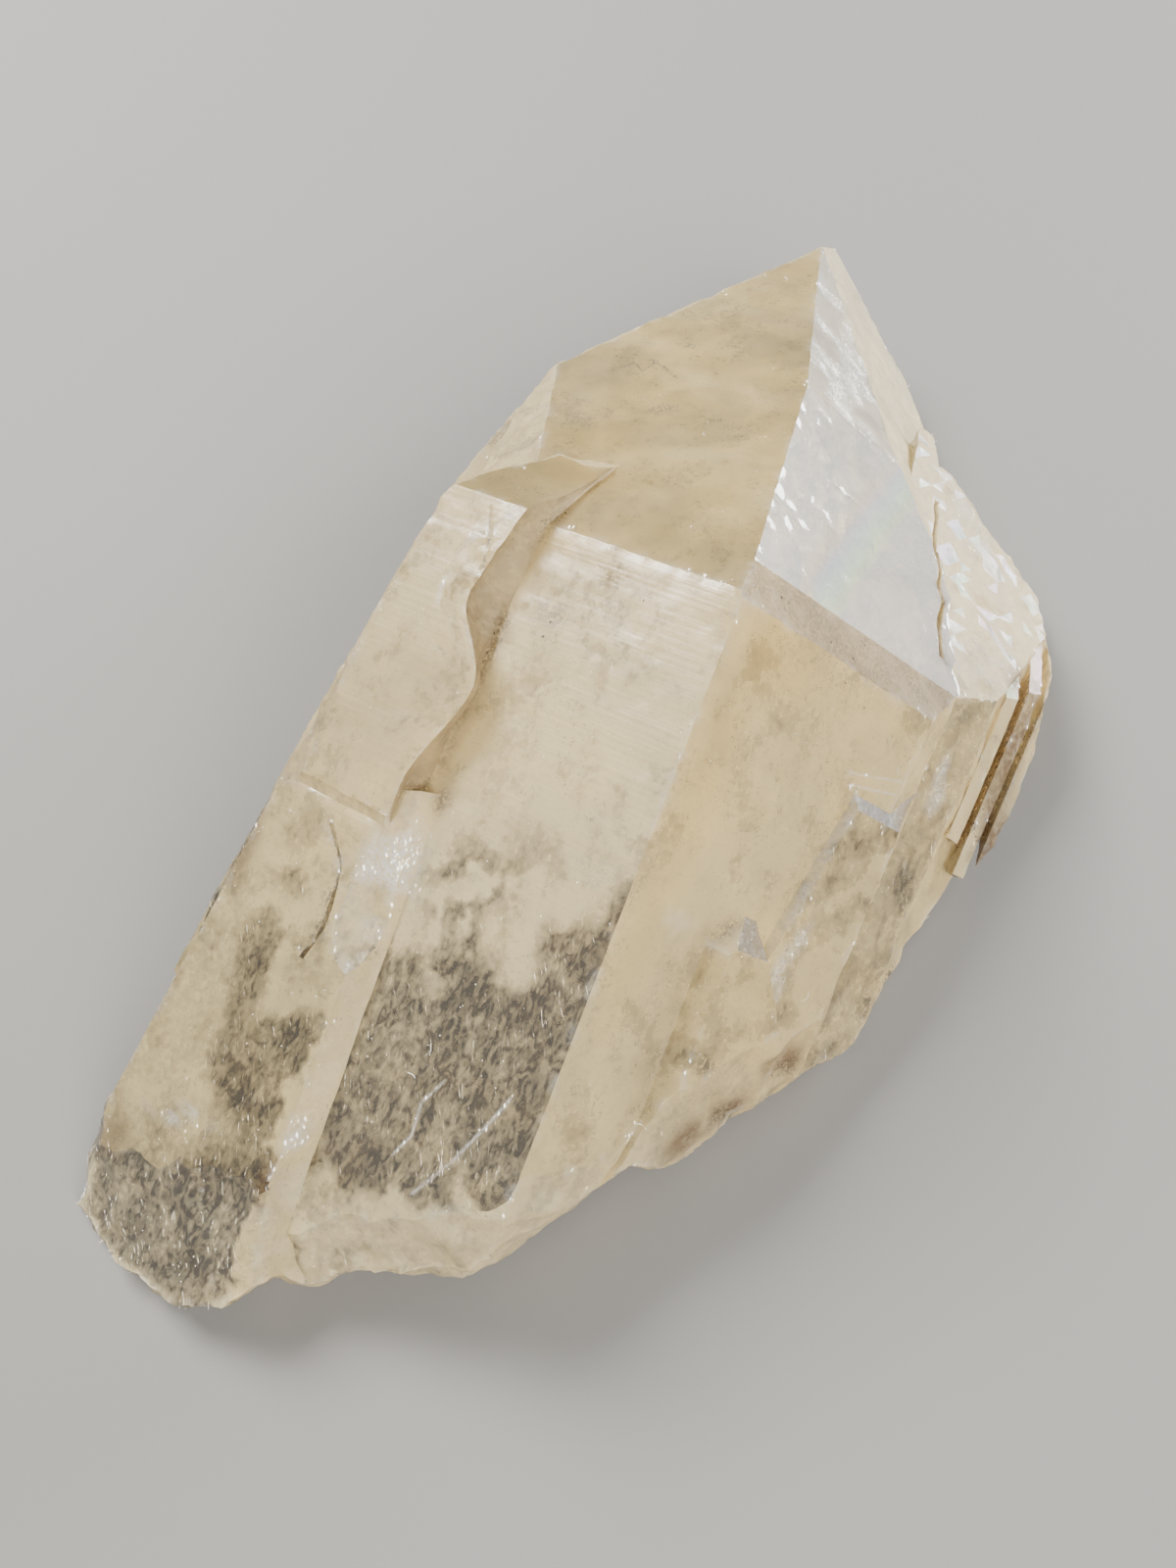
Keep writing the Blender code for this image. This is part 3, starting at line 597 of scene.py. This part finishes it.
lift -= (1 - ramp(toRidge, 0, relief["wearReach"])) * worn * relief["wear"]
lift -= growth * ramp(cloud(at, relief["pitSize"], 97, 3), 0.72, 0.9) * relief["pit"]
shell = np.abs(np.sin(cloud(at, relief["scoopSize"], 101, 2) * relief["scoopRings"]))
scooped = (face["flaked"] + sideTop + 0.6 * frost * broken) * ramp(toRidge, 0.3, 2)
lift -= scooped * (1 - shell) * relief["scoop"]
lift -= relief["bruise"] * frost * (1 - broken) * grain
lines = np.zeros(len(at))
for line, width, depth, kind in strokes:
    on = nearLine(at, line, width)
    lift -= on * depth
    if kind == "frost":
        frost = most(frost, on * 0.8)
    else:
        lines = most(lines, on)
dirt = most(dirt, lines * 0.85)

# the raised plate's right edge swings in and out, by mm at each mm along
plateEdge = {"along": (-56, -46, -36, -29, -24, -19, -10, 0, 6), "swing": (0, -1.2, 1.5, 4.6, 3.2, -4.8, -3.2, -1, 0),
             "smoothing": (-4, -2.4, -0.8, 0.8, 2.4, 4), "from": (20, 24), "to": (38, 47), "rise": (0.5, 4),
             "highest": 6.5}
leftOf = -0.5 * places[:, 0] - 0.866 * places[:, 1]
height = places @ faceNormal(-30, 90)
swing = sum(np.interp(places[:, 2] + reach, plateEdge["along"], plateEdge["swing"])
            for reach in plateEdge["smoothing"]) / len(plateEdge["smoothing"])
swing = swing * ramp(height, *plateEdge["rise"]) * (height < plateEdge["highest"])
swing = swing * (1 - ramp(leftOf, *plateEdge["to"])) * ramp(leftOf, *plateEdge["from"])
shift = swing[:, None] * np.array((0.5, 0.866, 0))
# the step on the left rhomb thins out towards its right end
stepEnd = {"place": (-26, -26, 10), "reach": (2, 20), "share": 0.8, "heights": (0.2, 4.6)}
above = places @ faceNormal(-30, 51.8)
thinning = 1 - ramp(np.linalg.norm(places - stepEnd["place"], axis=1), *stepEnd["reach"])
lowered = np.where(between(above, *stepEnd["heights"]), above, 0) * thinning * stepEnd["share"]
shift -= lowered[:, None] * faceNormal(-30, 51.8)

meeting = np.bincount(corner, minlength=count)   # how many face corners meet at each point
for axis in range(3):
    shift[:, axis] += np.bincount(corner, weights=lift * facing[:, axis], minlength=count) / meeting
low, high = np.array(cadBox[0]) + bodyMesh["inside"], np.array(cadBox[1]) - bodyMesh["inside"]
mesh.vertices.foreach_set("co", np.clip(outOfCrystal(places + shift), low, high).ravel())
mesh.update()


def keepField(name, values, domain, kind="FLOAT", slot="value"):
    mesh.attributes.new(name, kind, domain).data.foreach_set(slot, values.astype(np.float32).ravel())


fields = {"milk": milk, "honey": honey, "cool": cool, "stain": stain, "dirt": dirt, "frost": frost, "glow": glow,
          "shade": shade, "rainbow": rainbow, "speckle": speckle,
          "broken": broken + face["band"] + ledges + 0.4 * sideTop}
for name, values in fields.items():
    keepField(name, np.clip(values, 0, 1), "CORNER")
# where the loose bits lie
upward = turnedTo((0, 0, 1))
for name, values in {
    "upward": ramp(upward, 0.3, 0.9),
    "gritty": dirt * ramp(grain, 0.4, 0.7) * ramp(upward, -0.9, -0.5) * (1 - lines),
    "bruised": frost * ramp(cloud(at, (2.2, 2.2, 5), 67, 2), 0.35, 0.7),
    "flecked": ramp(1 - milk, 0.25, 0.9) * ramp(wisps, 0.45, 0.95) * (1 - dirt) * (1 - rightRhomb),
}.items():
    keepField(name, values.reshape(-1, 3).mean(1), "FACE")
keepField("crystalPlace", places, "POINT", "FLOAT_VECTOR", "vector")
crystal = addObject("crystal", mesh)
print("relief and fields", round(time.time() - clock, 1), "s")


# material helpers
def addNode(nodes, kind, settings=None, **values):
    made = nodes.new(kind)
    for name, value in (settings or {}).items():
        setattr(made, name, value)
    for name, value in values.items():
        made.inputs[name.replace("_", " ")].default_value = value
    return made


def feed(tree, sockets, values):
    # each value is a socket to link from, a plain value, or None to leave alone
    for socket, value in zip(sockets, values):
        if isinstance(value, bpy.types.NodeSocket):
            tree.links.new(value, socket)
        elif value is not None:
            socket.default_value = value


def plainMaterial(name, colour, roughness):
    made = bpy.data.materials.new(name)
    made.use_nodes = True
    shader = made.node_tree.nodes["Principled BSDF"]
    shader.inputs["Base Color"].default_value = colour
    shader.inputs["Roughness"].default_value = roughness
    return made


def addSockets(tree, side, sockets):
    for name, kind in sockets:
        tree.interface.new_socket(name, in_out=side, socket_type="NodeSocket" + kind)


def mathNode(tree, operation, a, b=None, clamp=False, c=None):
    made = addNode(tree.nodes, "ShaderNodeMath", {"operation": operation, "use_clamp": clamp})
    feed(tree, made.inputs, (a, b, c))
    return made.outputs[0]


def mixColour(tree, share, a, b, kind="MIX"):
    made = addNode(tree.nodes, "ShaderNodeMix", {"data_type": "RGBA", "blend_type": kind})
    feed(tree, (made.inputs[0], made.inputs[6], made.inputs[7]), (share, a, b))
    return made.outputs[2]


def noiseNode(tree, place, scale, detail=4, distortion=0.0, stretch=None):
    if stretch:
        squash = addNode(tree.nodes, "ShaderNodeMapping", Scale=stretch)
        tree.links.new(place, squash.inputs["Vector"])
        place = squash.outputs[0]
    made = addNode(tree.nodes, "ShaderNodeTexNoise", Scale=scale, Detail=detail, Distortion=distortion)
    tree.links.new(place, made.inputs["Vector"])
    return made.outputs["Fac"]


def rampNode(tree, value, low, high, toLow=0.0, toHigh=1.0):
    made = addNode(tree.nodes, "ShaderNodeMapRange", {"interpolation_type": "SMOOTHSTEP"},
                   From_Min=low, From_Max=high, To_Min=toLow, To_Max=toHigh)
    tree.links.new(value, made.inputs["Value"])
    return made.outputs[0]


quartzLook = {
    # the clear colour is painted shade: dark, for the shaded floor seen through the clear quartz
    "clear": (0.106, 0.098, 0.084, 1), "cream": (0.95, 0.81, 0.47, 1), "honeyTint": (0.85, 0.755, 0.5, 1),
    # the pale grey tint is a painted silver reflection on the right rhomb and the faces beside it
    "sheenTint": (0.88, 0.88, 0.87, 1), "rustAndShade": (0.15, 0.08, 0.032, 1), "grimeAndShade": (0.055, 0.045, 0.032, 1),
    "bruise": (0.98, 0.98, 0.95, 1), "glow": (1.0, 0.9, 0.62, 1), "clearRough": 0.04, "milkRough": 0.3,
    "transmission": 0.75, "ior": 1.544, "smoke": (0.86, 0.76, 0.58, 1), "smokeDensity": 10.0,
    "bumpStrength": 0.55, "bumpDistance": 0.0004,
    # scale and detail of each noise, and where its ramps begin and end
    "threads": {"scale": 0.8, "detail": 3, "twist": 1.4, "width": 0.03, "bright": 0.1},
    "swirl": (0.34, 0.7, -0.08, 0.26), "fine": (0.9, 3), "small": (1.9, 2), "growthLines": (0.75, 3),
    "mottle": 0.34, "mottleBetween": 2.6, "specks": (0.6, 0.68), "rustRamp": (0.25, 0.6, 0.45, 1.0),
    "grimeRamp": (0.4, 0.55), "bruiseRamp": (0.35, 0.6, 0.25, 1), "rainbow": 0.9,
    "rainbowWay": (0.55, 0.75, 0.35), "rainbowTurns": 0.7, "rainbowDepth": 0.17, "rainbowMiddle": 0.86,
    "lineHeight": 0.22, "grit": 0.14, "gritBroken": 0.8, "gritFrost": 0.7, "calmSheen": 0.75,
}


def quartzGroup():
    tree = bpy.data.node_groups.new("quartzSurface", "ShaderNodeTree")
    addSockets(tree, "INPUT", [(name.title(), "Float") for name in fields] + [("Place", "Vector")])
    addSockets(tree, "OUTPUT", (("Base Color", "Color"), ("Roughness", "Float"), ("Bump Height", "Float")))
    given = tree.nodes.new("NodeGroupInput").outputs
    ended = tree.nodes.new("NodeGroupOutput").inputs
    place = given["Place"]
    look = quartzLook

    def times(a, b, clamp=False):
        return mathNode(tree, "MULTIPLY", a, b, clamp)

    def plus(a, b, clamp=False):
        return mathNode(tree, "ADD", a, b, clamp)

    def less(a, b, clamp=False):
        return mathNode(tree, "SUBTRACT", a, b, clamp)

    # fine veils: thin bright threads that run along the crystal
    veil = look["threads"]
    threads = noiseNode(tree, place, veil["scale"], veil["detail"], veil["twist"], (1, 1, 0.5))
    lines = rampNode(tree, mathNode(tree, "ABSOLUTE", less(threads, 0.5)), 0, veil["width"], veil["bright"], 0)
    clear = less(1.05, given["Milk"], True)
    swirl = times(plus(rampNode(tree, threads, *look["swirl"]), lines), clear)
    fine = noiseNode(tree, place, *look["fine"])
    # mottled most where it is half milky
    halfMilky = times(given["Milk"], less(1.0, given["Milk"]))
    mottling = mathNode(tree, "MULTIPLY_ADD", halfMilky, look["mottleBetween"], c=look["mottle"])
    milky = plus(plus(times(less(fine, 0.5), mottling), given["Milk"]), swirl, True)
    # the dark clear colour paints the shade of the floor seen through clear parts
    colour = mixColour(tree, milky, look["clear"], look["cream"])

    # warm tints, then the painted silver sheen
    honey = times(given["Honey"], 1.0, True)
    colour = mixColour(tree, honey, colour, mixColour(tree, 1.0, colour, look["honeyTint"], "MULTIPLY"))
    colour = mixColour(tree, given["Cool"], colour, look["sheenTint"])
    shadeColour = addNode(tree.nodes, "ShaderNodeCombineColor")
    feed(tree, shadeColour.inputs, [given["Shade"]] * 3)
    colour = mixColour(tree, 1.0, colour, shadeColour.outputs[0], "MULTIPLY")

    # specks, rust and grime, which also paint shade on some faces, bruises, and the painted glow of light caught in
    # cracks
    small = noiseNode(tree, place, *look["small"])
    specks = times(rampNode(tree, small, *look["specks"]), given["Speckle"])
    rustAndShade = times(given["Stain"], rampNode(tree, fine, *look["rustRamp"]), True)
    grimeAndShade = times(given["Dirt"], rampNode(tree, small, *look["grimeRamp"]), True)
    white = times(given["Frost"], rampNode(tree, small, *look["bruiseRamp"]), True)
    for share, paint in ((times(specks, milky), "grimeAndShade"), (rustAndShade, "rustAndShade"), (grimeAndShade, "grimeAndShade"),
                         (white, "bruise"), (given["Glow"], "glow")):
        colour = mixColour(tree, share, colour, look[paint])
    # painted glint: a faint spectrum where thin cracks lie under the face
    band = addNode(tree.nodes, "ShaderNodeVectorMath", {"operation": "DOT_PRODUCT"})
    feed(tree, band.inputs, (place, look["rainbowWay"]))
    turns = times(band.outputs["Value"], look["rainbowTurns"])
    waves = [mathNode(tree, "COSINE", plus(turns, turn)) for turn in (0.0, 2.1, 4.2)]
    spectrum = addNode(tree.nodes, "ShaderNodeCombineColor")
    feed(tree, spectrum.inputs, [plus(times(wave, look["rainbowDepth"]), look["rainbowMiddle"]) for wave in waves])
    colour = mixColour(tree, times(given["Rainbow"], look["rainbow"]), colour, spectrum.outputs[0])
    tree.links.new(colour, ended["Base Color"])

    rough = rampNode(tree, milky, 0.0, 1.0, look["clearRough"], look["milkRough"])
    for share, field in ((0.4, grimeAndShade), (0.2, rustAndShade), (0.15, white), (0.3, given["Broken"]), (-0.25, given["Cool"])):
        rough = plus(rough, times(field, share), True)
    tree.links.new(mathNode(tree, "MAXIMUM", rough, look["clearRough"]), ended["Roughness"])

    # growth lines lie square to the crystal's length
    growthLines = noiseNode(tree, place, *look["growthLines"], 0, (0.06, 0.06, 1.6))
    smooth = less(1.0, given["Broken"], True)
    height = times(times(growthLines, look["lineHeight"]), smooth)
    grit = plus(look["grit"], times(given["Broken"], look["gritBroken"]))
    grit = plus(grit, times(given["Frost"], look["gritFrost"]))
    height = plus(height, times(fine, grit))
    calmer = less(1.0, times(given["Cool"], look["calmSheen"]), True)
    tree.links.new(times(height, calmer), ended["Bump Height"])
    return tree


def crystalMaterial():
    made = bpy.data.materials.new("smokyQuartz")
    made.use_nodes = True
    tree = made.node_tree
    shader = tree.nodes["Principled BSDF"]
    look = quartzLook
    shader.inputs["IOR"].default_value = look["ior"]
    shader.inputs["Transmission Weight"].default_value = look["transmission"]
    group = addNode(tree.nodes, "ShaderNodeGroup", {"node_tree": quartzGroup()})
    for name in fields:
        source = addNode(tree.nodes, "ShaderNodeAttribute", {"attribute_name": name})
        tree.links.new(source.outputs["Fac"], group.inputs[name.title()])
    source = addNode(tree.nodes, "ShaderNodeAttribute", {"attribute_name": "crystalPlace"})
    tree.links.new(source.outputs["Vector"], group.inputs["Place"])
    bump = addNode(tree.nodes, "ShaderNodeBump", Strength=look["bumpStrength"], Distance=look["bumpDistance"])
    tree.links.new(group.outputs["Bump Height"], bump.inputs["Height"])
    tree.links.new(bump.outputs[0], shader.inputs["Normal"])
    for name in ("Base Color", "Roughness"):
        tree.links.new(group.outputs[name], shader.inputs[name])
    smoke = addNode(tree.nodes, "ShaderNodeVolumeAbsorption", Color=look["smoke"], Density=look["smokeDensity"])
    tree.links.new(smoke.outputs[0], tree.nodes["Material Output"].inputs["Volume"])
    return made


mesh.materials.append(crystalMaterial())
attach(crystal, "root")
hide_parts("quartz_crystal")

# loose bits on the surface, scattered by one node tree: dust, lint fibres, dark grit, bruises, pale veils;
# sizes are shares of the bit's own, sink is mm into the surface, spin is radians
bits = {
    "dust": {"perSquareMetre": 26000, "field": "upward", "seed": 4, "small": 0.35, "large": 1.0, "sink": 0.02,
             "spin": 6.28, "colour": (0.86, 0.83, 0.76, 1), "radius": 0.13},
    "lint": {"perSquareMetre": 700, "field": "upward", "seed": 9, "small": 0.45, "large": 1.0, "sink": -0.05,
             "spin": 6.28, "colour": (0.93, 0.93, 0.95, 1), "length": 2.6, "radius": 0.045},
    "grit": {"perSquareMetre": 420000, "field": "gritty", "seed": 15, "small": 0.3, "large": 1.0, "sink": 0.05,
             "spin": 6.28, "colour": (0.07, 0.045, 0.025, 1), "radius": 0.32},
    "bruises": {"perSquareMetre": 1500000, "field": "bruised", "seed": 21, "small": 0.4, "large": 1.3, "sink": 0.03,
                "spin": 0.9, "colour": (0.97, 0.97, 0.94, 1), "length": 0.9, "width": 0.45, "thickness": 0.1},
    "veils": {"perSquareMetre": 850000, "field": "flecked", "seed": 27, "small": 0.25, "large": 1.2, "sink": 0.035,
              "spin": 1.5, "colour": (0.6, 0.54, 0.43, 1), "length": 2.2, "width": 0.22, "thickness": 0.08},
}
bitRoughness = 0.7


def grainMesh(name, radius):
    bm = bmesh.new()
    squash = Matrix.Diagonal((1, 0.8, 0.55, 1))
    bmesh.ops.create_icosphere(bm, subdivisions=1, radius=radius * mm, matrix=squash)
    return meshOf(bm, name)


def flakeMesh(name, length, width, thickness):
    # a flat lozenge, pointed at both ends
    made = bpy.data.meshes.new(name)
    points = [(-length / 2, 0, 0), (length / 2, 0, 0), (0.1 * length, width / 2, 0), (-0.05 * length, -width / 2, 0),
              (0, 0, thickness / 2), (0, 0, -thickness / 2)]
    ring = (0, 3, 1, 2)
    turns = list(zip(ring, ring[1:] + ring[:1]))
    faces = [(a, b, 4) for a, b in turns] + [(b, a, 5) for a, b in turns]
    made.from_pydata([[c * mm for c in p] for p in points], [], faces)
    return made


def fibreMesh(name, length, radius):
    # a bent thread lying in its own plane, six-sided and closed
    bm = bmesh.new()
    rings = []
    for k in range(9):
        t = k / 8 - 0.5
        centre = Vector((t * length, 0.28 * length * sin(2.6 * t) ** 2, 0.05 * length * sin(5 * t))) * mm
        rings.append([bm.verts.new(centre + Vector((0, cos(radians(60 * j)), sin(radians(60 * j)))) * radius * mm)
                      for j in range(6)])
    for a, b in zip(rings[:-1], rings[1:]):
        for j in range(6):
            bm.faces.new((a[j], b[j], b[(j + 1) % 6], a[(j + 1) % 6]))
    bm.faces.new(rings[0])
    bm.faces.new(rings[-1][::-1])
    bmesh.ops.recalc_face_normals(bm, faces=bm.faces)
    return meshOf(bm, name)


def scatterTree():
    tree = bpy.data.node_groups.new("scatterBits", "GeometryNodeTree")
    addSockets(tree, "INPUT", (
        ("Geometry", "Geometry"), ("Surface", "Object"), ("Bit", "Object"), ("Field", "String"),
        ("Density", "Float"), ("Seed", "Int"), ("Smallest", "Float"), ("Largest", "Float"), ("Sink", "Float"),
        ("Spin", "Float"), ("Along", "Vector"), ("Material", "Material")))
    addSockets(tree, "OUTPUT", [("Geometry", "Geometry")])
    given = tree.nodes.new("NodeGroupInput").outputs
    ended = tree.nodes.new("NodeGroupOutput").inputs

    def step(kind, links, **settings):
        # a node with these settings; links name or number its inputs
        made = addNode(tree.nodes, kind, settings)
        feed(tree, [made.inputs[name] for name in links], links.values())
        return made.outputs

    surface = step("GeometryNodeObjectInfo", {"Object": given["Surface"]})
    bit = step("GeometryNodeObjectInfo", {"Object": given["Bit"]})
    field = step("GeometryNodeInputNamedAttribute", {"Name": given["Field"]}, data_type="FLOAT")
    density = step("ShaderNodeMath", {0: field["Attribute"], 1: given["Density"]}, operation="MULTIPLY")
    spread = step("GeometryNodeDistributePointsOnFaces",
                  {"Mesh": surface["Geometry"], "Density": density[0], "Seed": given["Seed"]})
    down = step("ShaderNodeVectorMath", {0: spread["Normal"], "Scale": given["Sink"]}, operation="SCALE")
    settled = step("GeometryNodeSetPosition", {"Geometry": spread["Points"], "Offset": down[0]})
    aligned = step("FunctionNodeAlignRotationToVector", {"Rotation": spread["Rotation"], "Vector": given["Along"]},
                   axis="X", pivot_axis="Z")
    back = step("ShaderNodeMath", {0: given["Spin"], 1: -0.5}, operation="MULTIPLY")
    forth = step("ShaderNodeMath", {0: given["Spin"], 1: 0.5}, operation="MULTIPLY")
    amount = step("FunctionNodeRandomValue", {2: back[0], 3: forth[0], "Seed": given["Seed"]}, data_type="FLOAT")
    spin = step("ShaderNodeCombineXYZ", {"Z": amount[1]})
    turned = step("FunctionNodeRotateRotation", {"Rotation": aligned["Rotation"], "Rotate By": spin[0]},
                  rotation_space="LOCAL")
    size = step("FunctionNodeRandomValue", {2: given["Smallest"], 3: given["Largest"], "Seed": given["Seed"]},
                data_type="FLOAT")
    copies = step("GeometryNodeInstanceOnPoints", {"Points": settled[0], "Instance": bit["Geometry"],
                                                   "Rotation": turned[0], "Scale": size[1]})
    real = step("GeometryNodeRealizeInstances", {0: copies[0]})
    painted = step("GeometryNodeSetMaterial", {"Geometry": real[0], "Material": given["Material"]})
    tree.links.new(painted[0], ended["Geometry"])
    return tree


scatter = scatterTree()
sockets = {item.name: item.identifier for item in scatter.interface.items_tree if item.in_out == "INPUT"}
makers = {"dust": grainMesh, "lint": fibreMesh, "grit": grainMesh, "bruises": flakeMesh, "veils": flakeMesh}
alongWorld = tuple(fromCrystal.to_3x3() @ Vector((0, 0, 1)))
for name, settings in bits.items():
    sizes = {key: settings[key] for key in ("length", "width", "thickness", "radius") if key in settings}
    look = plainMaterial(name + "Matter", settings["colour"], bitRoughness)
    shape = makers[name](name + "Shape", **sizes)
    shape.materials.append(look)
    source = addObject(name + "Source", shape)
    carrier = addObject(name + "Carrier", bpy.data.meshes.new(name + "Carrier"))
    modifier = carrier.modifiers.new("scatter", "NODES")
    modifier.node_group = scatter
    for socket, value in {
        "Surface": crystal, "Bit": source, "Field": settings["field"], "Density": float(settings["perSquareMetre"]),
        "Seed": settings["seed"], "Smallest": settings["small"], "Largest": settings["large"],
        "Sink": -settings["sink"] * mm, "Spin": settings["spin"], "Along": alongWorld, "Material": look,
    }.items():
        modifier[sockets[socket]] = value
    graph = bpy.context.evaluated_depsgraph_get()
    made = bpy.data.meshes.new_from_object(carrier.evaluated_get(graph))
    made.name = name
    for gone in (source, carrier):
        bpy.data.objects.remove(gone)
    spots = np.empty(len(made.vertices) * 3)
    made.vertices.foreach_get("co", spots)
    made.vertices.foreach_set("co", np.clip(spots.reshape(-1, 3), low, high).ravel())
    piece = addObject(name, made)
    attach(piece, "root")
    print(name, len(made.polygons), "faces")

# floor, light and camera
studio = {
    "floorSize": 1.8, "floor": (0.142, 0.14, 0.137, 1), "floorRoughness": 0.8,
    "air": (0.9, 0.95, 1.0, 1), "airStrength": 0.4, "aim": (0, 0, 0.03),
    "lamps": [  # name, place, size, power, colour
        ("key", (-0.88, 0.3, 1.0), (0.7, 0.6), 71, (1.0, 0.96, 0.9)),
        ("backRight", (0.62, 1.15, 0.26), (0.8, 0.5), 42, (0.98, 0.99, 1.0)),
        ("fill", (0.9, -0.7, 0.9), (1.0, 0.8), 54, (1.0, 0.955, 0.88)),
    ],
    "lens": 27.04, "clip": 0.01, "eye": (0.1668, -0.0203, -0.0367), "tilt": 29.0, "turn": 27.6,
}
bm = bmesh.new()
bmesh.ops.create_grid(bm, x_segments=1, y_segments=1, size=studio["floorSize"])
floor = addObject("floor", meshOf(bm, "floor"))
floor.data.materials.append(plainMaterial("floorPaper", studio["floor"], studio["floorRoughness"]))

world = bpy.data.worlds.new("studio")
world.use_nodes = True
air = world.node_tree.nodes["Background"].inputs
air["Color"].default_value = studio["air"]
air["Strength"].default_value = studio["airStrength"]
bpy.context.scene.world = world
for name, place, size, power, colour in studio["lamps"]:
    light = bpy.data.lights.new(name, "AREA")
    light.shape = "RECTANGLE"
    light.size, light.size_y = size
    light.energy = power
    light.color = colour
    lamp = addObject(name, light)
    lamp.location = place
    lamp.rotation_euler = (Vector(studio["aim"]) - Vector(place)).to_track_quat("-Z", "Y").to_euler()

camera = addObject("camera", bpy.data.cameras.new("camera"))
camera.data.lens = studio["lens"]
camera.data.clip_start = studio["clip"]
camera.location = fromCrystal @ Vector(studio["eye"])   # metres from the front corner, in the crystal's axes
camera.rotation_euler = (radians(studio["tilt"]), 0, radians(studio["turn"]))
bpy.context.scene.camera = camera

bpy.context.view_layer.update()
print("whole scene", round(time.time() - clock, 1), "s")
